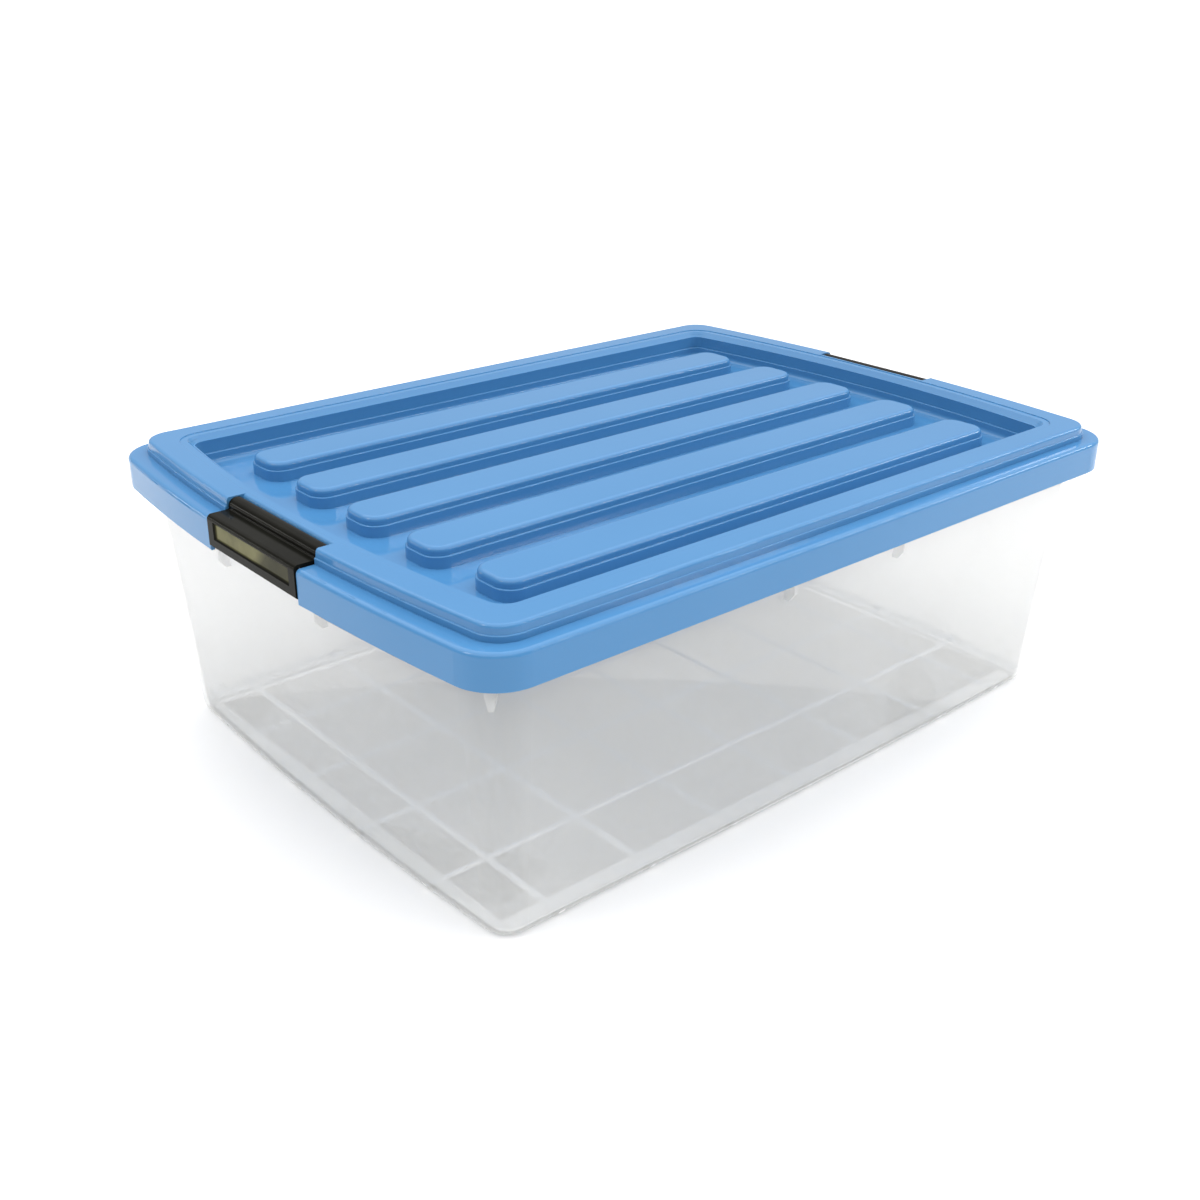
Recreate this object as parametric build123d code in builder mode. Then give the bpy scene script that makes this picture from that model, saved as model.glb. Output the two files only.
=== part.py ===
from build123d import *
import os

# ---------------------------------------------------------------- driving dimensions (mm)
# The box lies on the floor: X along its length, Y across, Z up, origin under the middle of the floor.
box_length = 550.0      # over the lid skirt, at the middle of the short sides
box_width = 400.0       # over the lid skirt, at the middle of the long sides
skirt_z = 163.5         # underside of the lid skirt
lid_height = 29.0       # skirt underside to the top of the raised rim

# lid, heights measured from the underside of its skirt, insets from its outline
short_bow = 13.7        # how far the short sides bulge at their middle
long_bow = 0.4
lid_corner = 28.0
lid_wall = 2.3
ledge_h = 20.3
ledge_round = 2.7
skirt_edge = 0.6        # rounding along the skirt's lower edge
riser_inset = 10.0
riser_bead_h = 24.0     # small step that shows as a thin line round the riser
bead_step = 0.8
rim_outer_inset = 11.4
rim_round = 2.0
rim_step_inset = 26.5   # shallow step on the rim's inner side
rim_step = 0.6
rim_inner_round = 0.4   # rounding of that step
short_extra = 1.2       # the raised rim stands a little further in on the short sides
recess_inset = 30.9     # top edge of the recess chamfer
chamfer_size = 4.0
recess_corner = 12.0
recess_foot = 3.5       # rounding where the recess wall meets the panel
panel_h = 9.3           # top of the sunk panel
line_h = 16.4           # height of the thin moulded ledge round the recess and the ribs
line_step = 1.1         # width of that ledge
line_round = 0.6        # rounding of that ledge and of the riser's step

# panel ribs
rib_pitch = 59.7
rib_half_width = 17.4    # at the foot
rib_top_h = 21.5
rib_half_length = 212.5
rib_shift_x = 3.5
rib_shorten = 3.4       # each rib ends further in by this much per square of its number from the middle
rib_corner = 12.0
rib_round = 3.0

# latch pocket and hinge
pocket_half = 49.2      # half width of the cut-out for a latch
pocket_inset = 23.5
pocket_round = 2.5
pocket_floor_t = 1.5
pocket_edge_inset = 6.5
hinge_x = 254.8
hinge_h = 25.6
pin_r = 2.0
bore_r = 2.06
barrel_r = 2.95

# latch
latch_half = 48.6
latch_face_x = 275.0
latch_wall = 2.3
latch_shelf_h = 22.4
latch_roll = 2.8
latch_bottom_h = 3.4
hook_r = 22.9           # the hook's upper face is round about the hinge
hook_tip_x = 266.0
hump_x = 261.0          # front of the hump that covers the hinge barrel
hump_r = 4.6
frame_half = 42.3       # sunk field on the latch face
frame_low_h = 8.8
frame_high_h = 19.4
frame_depth = 1.2
frame_taper = 50        # slope of the field's bevelled edges, degrees

# tub
tub_top_h = ledge_h - lid_wall
tub_wall = 2.5
base_hx = 245.2
base_hy = 177.2
base_bow_x = 5.4
base_bow_y = 2.2
base_corner = 17.0
base_round = 8.0
top_hx = 266.0
top_hy = 188.6
top_bow_x = 13.0
top_bow_y = 0.4
top_corner = 29.0
flange_inset = 4.5
flange_t = 2.5
lip_t = 2.3
lip_bottom_h = 9.6
web_t = 2.6             # small upright webs under the lip
web_reach = 12.0        # how deep a web runs, into the tub wall
web_low_h = -9.0        # bottom of its outer edge
web_foot_h = -14.0
end_web_y = 54.0        # on the short sides, just outside the latches
end_web_x = 268.8       # their outer edge
side_web_x = 48.0       # on the long sides
side_web_y = 194.3      # their outer edge
corner_web_t = 7.6       # across each corner, tapering down to a narrow foot
corner_foot_t = 2.8
corner_foot_h = -12.0
corner_web_x = 253.4    # outer face of that web
corner_web_y = 188.4
floor_line_w = 1.6
floor_line_h = 0.6
floor_pitch_x = 66.7
floor_pitch_y = 71.4

half_l = box_length / 2
half_w = box_width / 2
tub_top = skirt_z + tub_top_h


def bowed_rectangle(hx, hy, bow_x, bow_y, corner):
    """Rounded rectangle whose sides bulge outwards; hx and hy are taken at the middle of the sides."""
    with BuildLine() as outline:
        ThreePointArc((hx - bow_x, -hy + bow_y), (hx, 0), (hx - bow_x, hy - bow_y))
        ThreePointArc((hx - bow_x, hy - bow_y), (0, hy), (-hx + bow_x, hy - bow_y))
        ThreePointArc((-hx + bow_x, hy - bow_y), (-hx, 0), (-hx + bow_x, -hy + bow_y))
        ThreePointArc((-hx + bow_x, -hy + bow_y), (0, -hy), (hx - bow_x, -hy + bow_y))
    make_face(outline.line.edges())
    fillet(vertices(), corner)


def lid_outline(inset, corner, extra=0.0):
    """The lid's outline moved inwards; extra moves only the short sides."""
    bowed_rectangle(half_l - inset - extra, half_w - inset, short_bow, long_bow, corner)


def tub_outline(z, inset, corner_less=0.0):
    """The tub's leaning wall, cut at height z and moved inwards."""
    t = z / tub_top
    hx = base_hx + (top_hx - base_hx) * t - inset
    hy = base_hy + (top_hy - base_hy) * t - inset
    bow_x = base_bow_x + (top_bow_x - base_bow_x) * t
    bow_y = base_bow_y + (top_bow_y - base_bow_y) * t
    corner = base_corner + (top_corner - base_corner) * t - corner_less
    bowed_rectangle(hx, hy, bow_x, bow_y, corner)


def rib_outlines(inset):
    """Outlines of the five ribs, moved inwards; the outer ribs are a little shorter."""
    for i in range(-2, 3):
        shorten = rib_shorten * (i * rib_pitch / half_w) ** 2 * 4
        with Locations((rib_shift_x, i * rib_pitch)):
            RectangleRounded(
                2 * (rib_half_length - shorten - inset),
                2 * (rib_half_width - inset),
                rib_corner - inset,
            )


def level(h):
    """Horizontal plane at a height measured from the underside of the lid skirt."""
    return Plane.XY.offset(skirt_z + h)


def web_profile(outer):
    """Side view of a web: upright outer edge, foot sloping back into the tub wall."""
    with BuildLine() as web_line:
        Polyline(
            (outer, skirt_z + tub_top_h - 1),
            (outer, skirt_z + web_low_h),
            (outer - web_reach / 3, skirt_z + web_foot_h),
            (outer - web_reach, skirt_z + web_foot_h),
            (outer - web_reach, skirt_z + tub_top_h - 1),
            close=True,
        )
    make_face(web_line.line.edges())


# ---------------------------------------------------------------- tub
# Space inside the tub, used as a cutter.
with BuildPart() as tub_space:
    with BuildSketch(Plane.XY.offset(tub_wall)):
        tub_outline(tub_wall, tub_wall, tub_wall)
    with BuildSketch(Plane.XY.offset(tub_top + 1)):
        tub_outline(tub_top + 1, tub_wall, tub_wall)
    loft(ruled=True)
    fillet(tub_space.faces().sort_by(Axis.Z)[0].edges(), base_round - tub_wall)

# Upright webs under the lip: one quarter of them, then mirrored.
with BuildPart() as webs:
    with BuildSketch(Plane.XZ.offset(-end_web_y)):
        web_profile(end_web_x)
    extrude(amount=web_t / 2, both=True)
    with BuildSketch(Plane.YZ.offset(side_web_x)):
        web_profile(side_web_y)
    extrude(amount=web_t / 2, both=True)
    corner_plane = Plane(
        origin=(corner_web_x, corner_web_y, 0),
        x_dir=(-0.7071, 0.7071, 0),
        z_dir=(0.7071, 0.7071, 0),
    )
    with BuildSketch(corner_plane):
        with BuildLine() as corner_line:
            Polyline(
                (-corner_web_t / 2, skirt_z + tub_top_h - 1),
                (-corner_web_t / 2, skirt_z),
                (-corner_foot_t / 2, skirt_z + corner_foot_h),
                (corner_foot_t / 2, skirt_z + corner_foot_h),
                (corner_web_t / 2, skirt_z),
                (corner_web_t / 2, skirt_z + tub_top_h - 1),
                close=True,
            )
        make_face(corner_line.line.edges())
    extrude(amount=-web_reach)
    mirror(about=Plane.XZ)
    mirror(about=Plane.YZ)

# Thin raised lines across the floor.
with BuildPart() as floor_lines:
    with BuildSketch(Plane.XY.offset(tub_wall - 0.5)):
        with Locations([(i * floor_pitch_x, 0) for i in range(-3, 4)]):
            Rectangle(floor_line_w, 2 * base_hy - 24)
        with Locations([(0, (i + 0.5) * floor_pitch_y) for i in range(-2, 2)]):
            Rectangle(2 * base_hx - 28, floor_line_w)
    extrude(amount=0.5 + floor_line_h)

with BuildPart() as tub:
    # leaning walls and floor, with a soft bottom edge
    with BuildSketch(Plane.XY):
        tub_outline(0, 0)
    with BuildSketch(Plane.XY.offset(tub_top)):
        tub_outline(tub_top, 0)
    loft(ruled=True)
    fillet(tub.faces().sort_by(Axis.Z)[0].edges(), base_round)

    # rim flange
    with BuildSketch(level(tub_top_h - flange_t)):
        lid_outline(flange_inset, lid_corner - flange_inset)
    extrude(amount=flange_t)

    # down-turned lip round the flange
    with BuildSketch(level(lip_bottom_h)):
        lid_outline(flange_inset, lid_corner - flange_inset)
        with BuildSketch(mode=Mode.PRIVATE) as lip_hole:
            lid_outline(flange_inset + lip_t, lid_corner - flange_inset - lip_t)
        add(lip_hole.sketch, mode=Mode.SUBTRACT)
    extrude(amount=tub_top_h - flange_t - lip_bottom_h)
    add(webs.part)

    # empty the tub, then lay the floor lines
    add(tub_space.part, mode=Mode.SUBTRACT)
    add(floor_lines.part)

# ---------------------------------------------------------------- lid
# Outer shape of the lid without its recess: skirt, ledge, riser and rim.
with BuildPart() as lid_outer:
    with BuildSketch(level(0)):
        lid_outline(0, lid_corner)
    extrude(amount=ledge_h)
    fillet(lid_outer.faces().sort_by(Axis.Z)[-1].edges(), ledge_round)
    fillet(lid_outer.faces().sort_by(Axis.Z)[0].edges(), skirt_edge)
    with BuildSketch(level(ledge_h - 1)):
        lid_outline(riser_inset, lid_corner - riser_inset, short_extra)
    extrude(amount=riser_bead_h - ledge_h + 1)
    fillet(lid_outer.faces().sort_by(Axis.Z)[-1].edges(), line_round)
    with BuildSketch(level(riser_bead_h)):
        lid_outline(riser_inset + bead_step, lid_corner - riser_inset - bead_step, short_extra)
    with BuildSketch(level(lid_height)):
        lid_outline(rim_outer_inset, lid_corner - rim_outer_inset, short_extra)
    loft(ruled=True)
    fillet(lid_outer.faces().sort_by(Axis.Z)[-1].edges(), rim_round)

# Space under the lid.
with BuildPart() as lid_under:
    with BuildSketch(level(-1)):
        lid_outline(lid_wall, lid_corner - lid_wall)
    extrude(amount=ledge_h - lid_wall + 1)
    with BuildSketch(level(0)):
        lid_outline(riser_inset + lid_wall, lid_corner - riser_inset - lid_wall, short_extra)
    extrude(amount=riser_bead_h)
    with BuildSketch(level(riser_bead_h)):
        lid_outline(riser_inset + lid_wall + bead_step, lid_corner - riser_inset - lid_wall, short_extra)
    with BuildSketch(level(lid_height - lid_wall)):
        lid_outline(rim_outer_inset + lid_wall, lid_corner - rim_outer_inset - lid_wall, short_extra)
    loft(ruled=True)

# Space of the recess above the panel, with a thin step half way up and a chamfer under the rim.
with BuildPart() as recess:
    with BuildSketch(level(panel_h)):
        lid_outline(recess_inset + chamfer_size + line_step, recess_corner - chamfer_size)
    extrude(amount=line_h - panel_h)
    fillet(recess.faces().sort_by(Axis.Z)[0].edges(), recess_foot)
    with BuildSketch(level(line_h)):
        lid_outline(recess_inset + chamfer_size, recess_corner - chamfer_size)
    extrude(amount=lid_height - chamfer_size - line_h)
    ledge_face = recess.faces().filter_by(Plane.XY).filter_by(
        lambda f: abs(f.center().Z - skirt_z - line_h) < 0.01
    )[0]
    fillet(ledge_face.inner_wires()[0].edges(), line_round)
    with BuildSketch(level(lid_height - chamfer_size)):
        lid_outline(recess_inset + chamfer_size - 0.6, recess_corner - chamfer_size)
    with BuildSketch(level(lid_height - rim_step)):
        lid_outline(recess_inset, recess_corner)
    loft(ruled=True)
    with BuildSketch(level(lid_height - rim_step)):
        lid_outline(rim_step_inset, lid_corner - 10)
    extrude(amount=rim_step + 1)

# Panel ribs in two tiers with a thin ledge between, and the hollow inside each.
with BuildPart() as ribs:
    with BuildSketch(level(panel_h - 1)):
        rib_outlines(0)
    extrude(amount=line_h - panel_h + 1)
    fillet(ribs.edges().group_by(Axis.Z)[-1], line_round)
    with BuildSketch(level(line_h)):
        rib_outlines(line_step)
    extrude(amount=rib_top_h - line_h)
    fillet(ribs.edges().group_by(Axis.Z)[-1], rib_round)

with BuildPart() as rib_hollows:
    with BuildSketch(level(0)):
        rib_outlines(line_step + lid_wall - 0.4)
    extrude(amount=rib_top_h - lid_wall)
    fillet(rib_hollows.edges().group_by(Axis.Z)[-1], rib_round - lid_wall + 0.5)

# Walls and floor of the two latch pockets, kept within the lid's outer shape.
with BuildPart() as pocket_walls:
    with BuildSketch(level(ledge_h - lid_wall)):
        with Locations((half_l - pocket_inset - lid_wall, 0)):
            Rectangle(60, 2 * (pocket_half + lid_wall), align=(Align.MIN, Align.CENTER))
        mirror(about=Plane.YZ)
    extrude(amount=20)
    add(lid_outer.part, mode=Mode.INTERSECT)

# Space of the two latch pockets: open at the top and through the skirt.
with BuildPart() as pockets:
    with BuildSketch(level(ledge_h - lid_wall + pocket_floor_t)):
        with Locations((half_l - pocket_inset, 0)):
            Rectangle(60, 2 * pocket_half, align=(Align.MIN, Align.CENTER))
        mirror(about=Plane.YZ)
    extrude(amount=20)
    with BuildSketch(level(-2)):
        with Locations((half_l - pocket_edge_inset, 0)):
            Rectangle(60, 2 * pocket_half, align=(Align.MIN, Align.CENTER))
        mirror(about=Plane.YZ)
    extrude(amount=40)

with BuildPart() as lid:
    add(lid_outer.part)
    add(lid_under.part, mode=Mode.SUBTRACT)

    # outer skin of the recess, then its space
    with BuildSketch(level(panel_h - lid_wall)):
        lid_outline(recess_inset + chamfer_size - lid_wall, recess_corner - chamfer_size + lid_wall)
    extrude(amount=lid_height - 1 - panel_h + lid_wall)
    add(recess.part, mode=Mode.SUBTRACT)
    add(ribs.part)
    add(rib_hollows.part, mode=Mode.SUBTRACT)

    # latch pockets with their hinge bores
    add(pocket_walls.part)
    add(pockets.part, mode=Mode.SUBTRACT)
    pocket_edges = lid.edges().filter_by(Axis.Y).filter_by(
        lambda e: abs(abs(e.center().X) - half_l + pocket_inset) < 0.01
        and abs(e.center().Z - skirt_z - lid_height) < 0.01
    )
    fillet(pocket_edges, pocket_round)
    rim_inner_edges = lid.edges().filter_by(
        lambda e: abs(e.center().Z - skirt_z - lid_height) < 0.01
        and abs(e.center().X) < half_l - rim_step_inset + 0.5
        and abs(e.center().Y) < half_w - rim_step_inset + 0.5
    )
    fillet(rim_inner_edges, rim_inner_round)
    with BuildSketch(Plane.XZ):
        with Locations((hinge_x, skirt_z + hinge_h), (-hinge_x, skirt_z + hinge_h)):
            Circle(bore_r)
    extrude(amount=pocket_half + lid_wall + 1, both=True, mode=Mode.SUBTRACT)

# ---------------------------------------------------------------- latches
hinge_z = skirt_z + hinge_h
shelf_z = skirt_z + latch_shelf_h
roll_z = shelf_z - latch_roll
bottom_z = skirt_z + latch_bottom_h
inner_x = latch_face_x - latch_wall
hook_root_z = hinge_z - (hook_r**2 - (inner_x - hinge_x) ** 2) ** 0.5
hook_tip_z = hinge_z - (hook_r**2 - (hook_tip_x - hinge_x) ** 2) ** 0.5
hook_mid_x = (inner_x + hook_tip_x) / 2
hook_mid_z = hinge_z - (hook_r**2 - (hook_mid_x - hinge_x) ** 2) ** 0.5
r_in = latch_roll - latch_wall + 0.8
hump_z = hinge_z + barrel_r

with BuildPart() as latch_right:
    # barrel and one bent plate: hump, shelf, roll, face and hook
    with BuildSketch(Plane.XZ):
        with BuildLine():
            Line((hinge_x, shelf_z - latch_wall), (inner_x - r_in, shelf_z - latch_wall))
            RadiusArc((inner_x - r_in, shelf_z - latch_wall), (inner_x, shelf_z - latch_wall - r_in), r_in)
            Line((inner_x, shelf_z - latch_wall - r_in), (inner_x, hook_root_z))
            ThreePointArc((inner_x, hook_root_z), (hook_mid_x, hook_mid_z), (hook_tip_x, hook_tip_z))
            Line((hook_tip_x, hook_tip_z), (hook_tip_x, bottom_z))
            Line((hook_tip_x, bottom_z), (latch_face_x - 0.6, bottom_z))
            Line((latch_face_x - 0.6, bottom_z), (latch_face_x, bottom_z + 0.6))
            Line((latch_face_x, bottom_z + 0.6), (latch_face_x, roll_z))
            RadiusArc((latch_face_x, roll_z), (latch_face_x - latch_roll, shelf_z), -latch_roll)
            Line((latch_face_x - latch_roll, shelf_z), (hump_x + 1, shelf_z))
            RadiusArc((hump_x + 1, shelf_z), (hump_x, shelf_z + 1), 1)
            Line((hump_x, shelf_z + 1), (hump_x, hump_z - hump_r))
            RadiusArc((hump_x, hump_z - hump_r), (hump_x - hump_r, hump_z), -hump_r)
            Line((hump_x - hump_r, hump_z), (hinge_x, hump_z))
            Line((hinge_x, hump_z), (hinge_x, hinge_z))
            Line((hinge_x, hinge_z), (hinge_x, shelf_z - latch_wall))
        make_face()
        with Locations((hinge_x, hinge_z)):
            Circle(barrel_r)
    extrude(amount=latch_half, both=True)

    # hinge pins in the pocket's side walls
    with BuildSketch(Plane.XZ):
        with Locations((hinge_x, hinge_z)):
            Circle(pin_r)
    extrude(amount=pocket_half + lid_wall - 0.3, both=True)

    # sunk field on the face, with bevelled edges
    with BuildSketch(Plane.YZ.offset(latch_face_x)):
        with Locations((0, skirt_z + (frame_low_h + frame_high_h) / 2)):
            Rectangle(2 * frame_half, frame_high_h - frame_low_h)
    extrude(amount=-frame_depth, taper=frame_taper, mode=Mode.SUBTRACT)

with BuildPart() as latch_left:
    add(mirror(latch_right.part, about=Plane.YZ))

# ---------------------------------------------------------------- hand over
tub.part.label = "tub"
lid.part.label = "lid"
latch_left.part.label = "latch_left"
latch_right.part.label = "latch_right"
os.makedirs("parts", exist_ok=True)
export_step(tub.part, "parts/tub.step")
export_step(lid.part, "parts/lid.step")
export_step(latch_left.part, "parts/latch_left.step")
export_step(latch_right.part, "parts/latch_right.step")
for piece in (tub, lid, latch_left, latch_right):
    print(piece.part.label, round(piece.part.volume), len(piece.part.solids()), piece.part.bounding_box())
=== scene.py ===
import math

import bpy
from mathutils import Matrix, Vector

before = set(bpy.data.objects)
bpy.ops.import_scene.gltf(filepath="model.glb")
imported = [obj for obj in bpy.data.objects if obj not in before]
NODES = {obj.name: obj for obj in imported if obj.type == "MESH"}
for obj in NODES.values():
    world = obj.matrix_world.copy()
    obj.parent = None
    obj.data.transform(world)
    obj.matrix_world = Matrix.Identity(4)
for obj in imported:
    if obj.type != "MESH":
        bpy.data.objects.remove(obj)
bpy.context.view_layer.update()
SKIRT_Z = 0.1635  # underside of the lid skirt

# Tub, in metres. Pairs are the two ends of a fade.
PITCH_X = 0.0667  # spacing of the lines moulded across the floor
PITCH_Y = 0.0714
LINE_HALF = 0.0015
LINE_FADE = 2.2
LINE_Z = (0.0045, 0.0060)
PANE_X = 0.228  # how far the flat panes between the lines reach
PANE_Y = 0.158
PANE_FADE = 0.002
PANE_Z_LOW = (0.0018, 0.0022)
PANE_Z_HIGH = (0.0030, 0.0036)
# painted light: the rounded base edge is coloured near-white to lift the shade where it turns down to the
# floor
PAINTED_BASE_LIGHT_Z = (0.0010, 0.0090)  # rounded base edge
PAINTED_BASE_LIGHT_SHARE = 0.55
WALL_COVER = 0.41  # how much a wall hides, and what is added on the floor lines, on the painted-light base edge or on a pane
LINES_AND_BASE_LIGHT_COVER = 0.51
PANE_COVER = 0.23
# near-white: the floor lines' own cloudier colour, and painted light on the rounded base edge
LINES_AND_BASE_LIGHT_COLOUR = (0.97, 0.97, 0.96, 1)
PANE_COLOUR = (0.40, 0.40, 0.39, 1)

# Sunk field on the face of a latch, where an olive reflection is painted, in metres.
FIELD_Z = SKIRT_Z + 0.0141
FIELD_ACROSS = (0.0395, 0.0415)
FIELD_UP = (0.0036, 0.0046)
FIELD_OUT = (0.2725, 0.2732)
# painted reflection: a tilted olive streak fading across the sunk field
REFLECTION_STREAK_TILT = 0.9
REFLECTION_STREAK_START = 0.014
REFLECTION_STREAK_END = 0.004


# ---------------------------------------------------------------- camera
# Solved for the box standing on its base: angles in degrees, lengths in metres.
AZIMUTH = -41.126
ELEVATION = 24.428
ROLL = 0.496
DISTANCE = 0.926297
PAN_RIGHT = -0.017229
PAN_UP = -0.085503
LENS_MM = 41.76
SENSOR_MM = 36.0


def add_camera():
    a, e, r = math.radians(AZIMUTH), math.radians(ELEVATION), math.radians(ROLL)
    back = Vector((math.sin(a) * math.cos(e), -math.cos(a) * math.cos(e), math.sin(e)))
    right = Vector((0, 0, 1)).cross(back).normalized()
    up = back.cross(right)
    right_r = right * math.cos(r) + up * math.sin(r)
    up_r = up * math.cos(r) - right * math.sin(r)
    place = right_r * PAN_RIGHT + up_r * PAN_UP + back * DISTANCE + Vector((0, 0, SKIRT_Z))
    data = bpy.data.cameras.new("camera")
    data.lens = LENS_MM
    data.sensor_width = SENSOR_MM
    data.clip_start = 0.01
    data.clip_end = 50
    obj = bpy.data.objects.new("camera", data)
    bpy.context.scene.collection.objects.link(obj)
    turn = Matrix((right_r, up_r, back)).transposed().to_4x4()
    obj.matrix_world = Matrix.Translation(place) @ turn
    bpy.context.scene.camera = obj


# ---------------------------------------------------------------- material helpers
RANGE_KEYS = ("From Min", "From Max", "To Min", "To Max")


class Mat:
    """A node material being built; calls add nodes and link them."""

    def __init__(self, name):
        self.mat = bpy.data.materials.new(name)
        self.mat.use_nodes = True
        self.tree = self.mat.node_tree
        self.tree.nodes.clear()
        self.out = self.node("ShaderNodeOutputMaterial")

    def node(self, kind, **settings):
        n = self.tree.nodes.new(kind)
        for key, value in settings.items():
            setattr(n, key, value)
        return n

    def put(self, socket, value):
        if isinstance(value, bpy.types.NodeSocket):
            self.tree.links.new(value, socket)
        else:
            socket.default_value = value

    def coords(self):
        return self.node("ShaderNodeTexCoord").outputs["Object"]

    def noise(self, scale, detail=3.0, stretch=None):
        vec = self.coords()
        if stretch:
            mapping = self.node("ShaderNodeMapping")
            self.put(mapping.inputs["Vector"], vec)
            mapping.inputs["Scale"].default_value = stretch
            vec = mapping.outputs["Vector"]
        n = self.node("ShaderNodeTexNoise")
        self.put(n.inputs["Vector"], vec)
        n.inputs["Scale"].default_value = scale
        n.inputs["Detail"].default_value = detail
        n.inputs["Roughness"].default_value = 0.5
        return n.outputs["Fac"]

    def ramp(self, fac, stops):
        n = self.node("ShaderNodeValToRGB")
        self.put(n.inputs["Fac"], fac)
        ramp = n.color_ramp
        while len(ramp.elements) < len(stops):
            ramp.elements.new(0.5)
        for element, (at, colour) in zip(ramp.elements, stops):
            element.position = at
            element.color = (*colour, 1) if len(colour) == 3 else colour
        return n.outputs["Color"]

    def math(self, operation, a, b=0.0, c=0.0):
        n = self.node("ShaderNodeMath", operation=operation)
        for socket, value in zip(n.inputs, (a, b, c)):
            self.put(socket, value)
        return n.outputs[0]

    def remap(self, value, low, high, to_low, to_high):
        n = self.node("ShaderNodeMapRange")
        self.put(n.inputs["Value"], value)
        for key, number in zip(RANGE_KEYS, (low, high, to_low, to_high)):
            n.inputs[key].default_value = number
        return n.outputs["Result"]

    def blend(self, factor, first, second):
        n = self.node("ShaderNodeMix", data_type="RGBA")
        self.put(n.inputs["Factor"], factor)
        self.put(n.inputs[6], first)
        self.put(n.inputs[7], second)
        return n.outputs[2]

    def inside(self, value, fade):
        """1 below the fade, 0 above it."""
        return self.remap(value, *fade, 1.0, 0.0)

    def bump(self, height, strength, distance):
        n = self.node("ShaderNodeBump")
        self.put(n.inputs["Height"], height)
        n.inputs["Strength"].default_value = strength
        n.inputs["Distance"].default_value = distance
        return n.outputs["Normal"]

    def principled(self, **values):
        n = self.node("ShaderNodeBsdfPrincipled")
        for key, value in values.items():
            self.put(n.inputs[key.replace("_", " ")], value)
        return n.outputs["BSDF"]

    def finish(self, shader):
        self.tree.links.new(shader, self.out.inputs["Surface"])
        return self.mat


def lid_blue():
    """Glossy blue moulded plastic."""
    m = Mat("lid_blue")
    cloud = m.noise(6.0, 3.0)
    colour = m.ramp(cloud, [(0.3, (0.060, 0.205, 0.418)), (0.7, (0.068, 0.218, 0.436))])
    rough = m.remap(m.noise(12.0, 2.0), 0.3, 0.7, 0.07, 0.12)
    flow = m.noise(22.0, 2.0, stretch=(0.3, 1.0, 1.0))
    normal = m.bump(flow, 0.03, 0.0006)
    shader = m.principled(
        Base_Color=colour,
        Roughness=rough,
        Normal=normal,
        IOR=1.49,
        Specular_IOR_Level=0.36,
    )
    return m.finish(shader)


def near_line(m, value, pitch, offset):
    """1 on the moulded lines that repeat every pitch along value, 0 between them."""
    away = m.math("PINGPONG", m.math("ADD", value, offset), pitch / 2)
    return m.inside(away, (LINE_HALF, LINE_HALF * LINE_FADE))


def tub_clear():
    """Cloudy see-through plastic; a wall counts once, by the face turned towards the eye."""
    m = Mat("tub_clear")
    place = m.node("ShaderNodeSeparateXYZ")
    m.put(place.inputs["Vector"], m.coords())
    x, y, z = place.outputs
    # thicker, cloudier plastic on the lines across the floor; painted light on the rounded base edge,
    # coloured near-white to lift its shade
    lines_x = near_line(m, x, PITCH_X, 10.0 * PITCH_X)
    lines_y = near_line(m, y, PITCH_Y, 10.5 * PITCH_Y)
    lines = m.math("MULTIPLY", m.math("MAXIMUM", lines_x, lines_y), m.inside(z, LINE_Z))
    # the flat panes of the floor between those lines are a little greyer than the walls
    pane = m.math("MULTIPLY", m.remap(z, *PANE_Z_LOW, 0.0, 1.0), m.inside(z, PANE_Z_HIGH))
    for value, reach in ((x, PANE_X), (y, PANE_Y)):
        edge = m.inside(m.math("ABSOLUTE", value), (reach, reach + PANE_FADE))
        pane = m.math("MULTIPLY", pane, edge)
    pane = m.math("MULTIPLY", pane, m.math("SUBTRACT", 1.0, lines))
    # painted light: the rounded base edge is coloured near-white and hides more, lifting the shade where
    # it turns down to the floor
    painted_base_light = m.math("MULTIPLY", m.inside(z, PAINTED_BASE_LIGHT_Z), PAINTED_BASE_LIGHT_SHARE)
    painted_base_light_off_panes = m.math("MULTIPLY", painted_base_light, m.math("SUBTRACT", 1.0, pane))
    lines_and_base_light = m.math("MAXIMUM", lines, painted_base_light_off_panes)
    cloud = m.noise(7.0, 3.0)
    thin_colour = m.ramp(cloud, [(0.3, (0.690, 0.690, 0.672)), (0.7, (0.725, 0.724, 0.702))])
    colour = m.blend(lines_and_base_light, m.blend(pane, thin_colour, PANE_COLOUR), LINES_AND_BASE_LIGHT_COLOUR)
    front = m.math("SUBTRACT", 1.0, m.node("ShaderNodeNewGeometry").outputs["Backfacing"])
    cover = m.math("ADD", WALL_COVER, m.math("MULTIPLY", lines_and_base_light, LINES_AND_BASE_LIGHT_COVER))
    cover = m.math("ADD", cover, m.math("MULTIPLY", pane, PANE_COVER))
    alpha = m.math("MULTIPLY", cover, front)
    rough = m.remap(m.noise(6.0, 1.0), 0.3, 0.7, 0.33, 0.38)
    shader = m.principled(Base_Color=colour, Roughness=rough, Alpha=alpha, IOR=1.49)
    return m.finish(shader)


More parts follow.
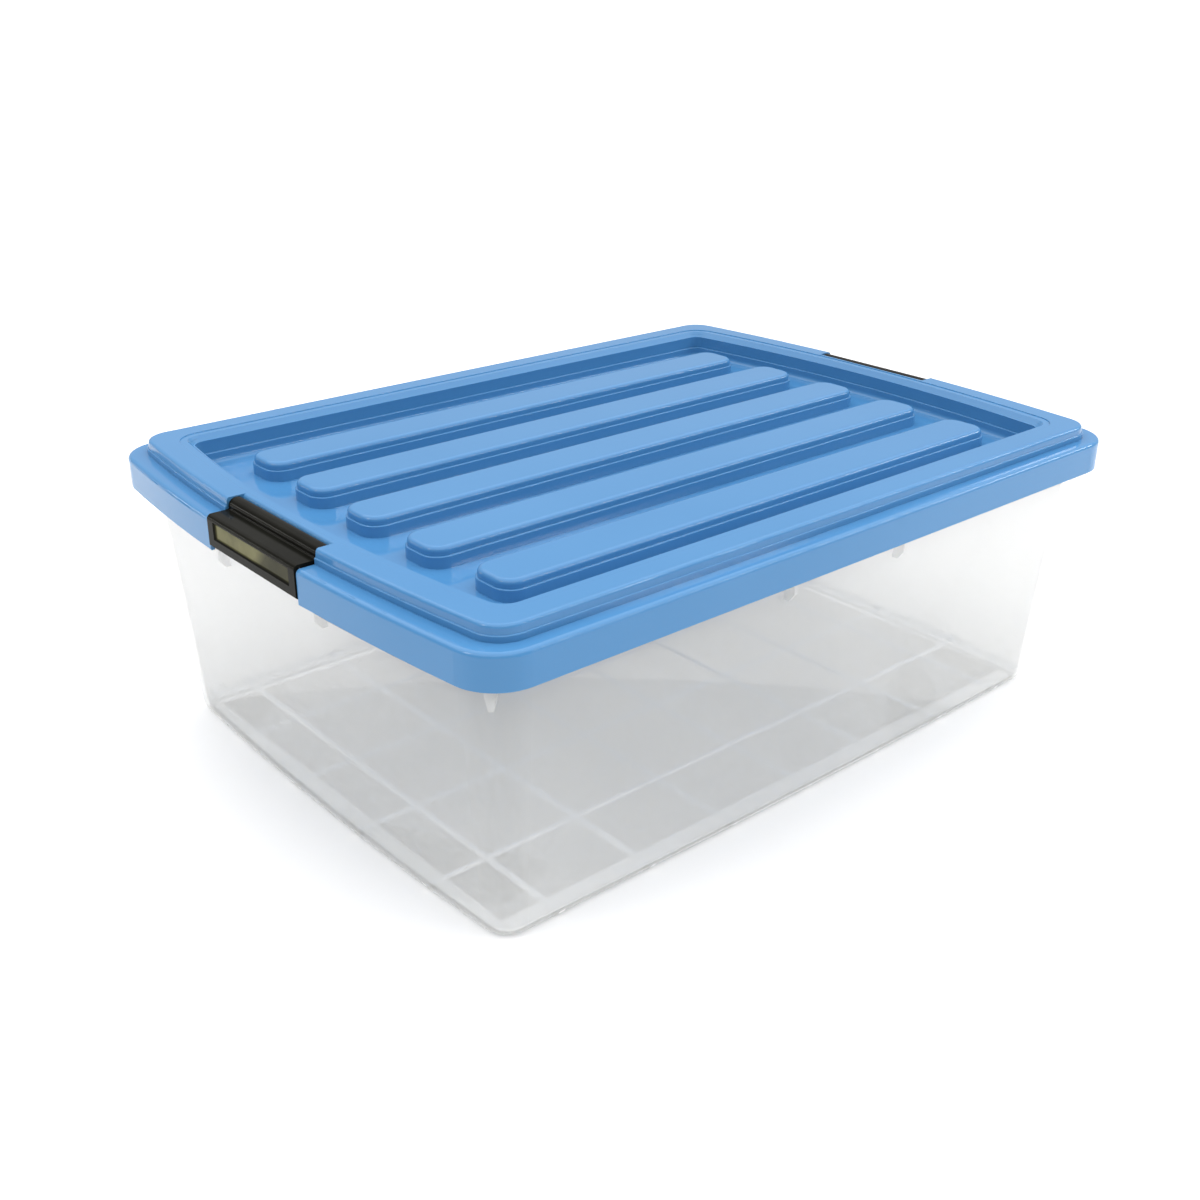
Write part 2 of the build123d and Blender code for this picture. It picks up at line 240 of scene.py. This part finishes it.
def latch_black():
    """Glossy black plastic; an olive reflection is painted into the colour of the sunk field on the face.
    """
    m = Mat("latch_black")
    place = m.node("ShaderNodeSeparateXYZ")
    m.put(place.inputs["Vector"], m.coords())
    across = m.math("ABSOLUTE", place.outputs["Y"])
    up = m.math("ABSOLUTE", m.math("SUBTRACT", place.outputs["Z"], FIELD_Z))
    out = m.math("ABSOLUTE", place.outputs["X"])
    # painted reflection: the sunk field is coloured olive, fading across a tilted gradient and broken by
    # noise
    reflection_field = m.math("MULTIPLY", m.inside(across, FIELD_ACROSS), m.inside(up, FIELD_UP))
    reflection_field = m.math("MULTIPLY", reflection_field, m.remap(out, *FIELD_OUT, 0.0, 1.0))
    tilt = m.math("MULTIPLY", place.outputs["Z"], REFLECTION_STREAK_TILT)
    reflection_streak = m.math("ADD", place.outputs["Y"], tilt)
    middle = FIELD_Z * REFLECTION_STREAK_TILT
    painted_reflection = m.remap(reflection_streak, middle - REFLECTION_STREAK_START, middle - REFLECTION_STREAK_END, 0.3, 1.0)
    painted_reflection = m.math("MULTIPLY", painted_reflection, m.remap(m.noise(60.0, 2.0), 0.35, 0.6, 0.65, 1.0))
    cloud = m.noise(40.0, 3.0)
    black = m.ramp(cloud, [(0.3, (0.005, 0.005, 0.004)), (0.7, (0.009, 0.009, 0.007))])
    # olive of the painted reflection
    reflection_colour = m.ramp(cloud, [(0.3, (0.128, 0.123, 0.056)), (0.7, (0.184, 0.175, 0.084))])
    colour = m.blend(m.math("MULTIPLY", reflection_field, painted_reflection), black, reflection_colour)
    rough = m.remap(m.noise(60.0, 4.0), 0.3, 0.7, 0.08, 0.16)
    normal = m.bump(m.noise(60.0, 2.0), 0.05, 0.0005)
    shader = m.principled(
        Base_Color=colour,
        Roughness=rough,
        Normal=normal,
        IOR=1.3,
        Specular_IOR_Level=0.12,
        Specular_Tint=(0.95, 0.92, 0.70, 1),
    )
    return m.finish(shader)


def dress(node, material):
    obj = NODES[node]
    obj.data.materials.clear()
    obj.data.materials.append(material)


# ---------------------------------------------------------------- stage and light
BACK_OF_STAGE = (0.657, 0.753, 0.0)
LOW_FRONT = 0.15
LOW_BACK = 0.60
OVERHEAD = 2.30
BELOW = 1.3
BACK_FADE = (-0.3, 0.8)
OVERHEAD_FADE = (0.42, 0.75)
HORIZON_FADE = (-0.005, 0.005)
STAGE_HALF = 6.0
STAGE_COLOUR = (0.83, 0.83, 0.83, 1)
AIM = (0, 0, 0.15)
LIGHTS = (  # name, place, size, power in watts
    ("right", (1.35, -1.40, 1.00), (1.9, 0.14), 16),
    ("left", (-1.45, 0.15, 1.30), (0.35, 0.35), 4),
    ("far_left", (-1.1, 1.45, 0.45), (0.6, 0.06), 1.5),
)


def add_floor():
    m = Mat("stage_floor")
    shader = m.principled(Base_Color=STAGE_COLOUR, Roughness=0.9)
    mat = m.finish(shader)
    mesh = bpy.data.meshes.new("floor")
    signs = ((-1, -1), (1, -1), (1, 1), (-1, 1))
    corners = [(sx * STAGE_HALF, sy * STAGE_HALF, 0) for sx, sy in signs]
    mesh.from_pydata(corners, [], [(0, 1, 2, 3)])
    mesh.materials.append(mat)
    obj = bpy.data.objects.new("floor", mesh)
    bpy.context.scene.collection.objects.link(obj)


def add_area(name, place, size, power):
    data = bpy.data.lights.new(name, "AREA")
    data.shape = "RECTANGLE"
    data.size, data.size_y = size
    data.energy = power
    obj = bpy.data.objects.new(name, data)
    bpy.context.scene.collection.objects.link(obj)
    direction = Vector(AIM) - Vector(place)
    obj.matrix_world = Matrix.Translation(place) @ direction.to_track_quat("-Z", "Y").to_matrix().to_4x4()


def add_world():
    """Studio surroundings: bright overhead, dimmer low down in front, white below the horizon."""
    world = bpy.data.worlds.new("world")
    world.use_nodes = True
    tree = world.node_tree

    def node(kind, **settings):
        n = tree.nodes.new(kind)
        for key, value in settings.items():
            setattr(n, key, value)
        return n

    def remap(value, fade, to_low, to_high):
        n = node("ShaderNodeMapRange", interpolation_type="SMOOTHSTEP")
        tree.links.new(value, n.inputs["Value"])
        for key, number in zip(RANGE_KEYS, (*fade, to_low, to_high)):
            n.inputs[key].default_value = number
        return n.outputs["Result"]

    coord = node("ShaderNodeTexCoord").outputs["Generated"]
    split = node("ShaderNodeSeparateXYZ")
    tree.links.new(coord, split.inputs["Vector"])
    height = split.outputs["Z"]
    behind = node("ShaderNodeVectorMath", operation="DOT_PRODUCT")
    tree.links.new(coord, behind.inputs[0])
    behind.inputs[1].default_value = BACK_OF_STAGE
    low = remap(behind.outputs["Value"], BACK_FADE, LOW_FRONT, LOW_BACK)
    overhead = remap(height, OVERHEAD_FADE, 0.0, 1.0)
    level = node("ShaderNodeMix", data_type="FLOAT")
    tree.links.new(overhead, level.inputs["Factor"])
    tree.links.new(low, level.inputs[2])
    level.inputs[3].default_value = OVERHEAD
    below = remap(height, HORIZON_FADE, 1.0, 0.0)
    final = node("ShaderNodeMix", data_type="FLOAT")
    tree.links.new(below, final.inputs["Factor"])
    tree.links.new(level.outputs[0], final.inputs[2])
    final.inputs[3].default_value = BELOW
    tree.links.new(final.outputs[0], tree.nodes["Background"].inputs["Strength"])
    tree.nodes["Background"].inputs["Color"].default_value = (1, 1, 1, 1)
    bpy.context.scene.world = world


def add_lights():
    add_world()
    for light in LIGHTS:
        add_area(*light)


dress("tub", tub_clear())
dress("lid", lid_blue())
black = latch_black()
dress("latch_left", black)
dress("latch_right", black)
add_floor()
add_lights()
add_camera()
bpy.context.scene.view_settings.view_transform = "Standard"
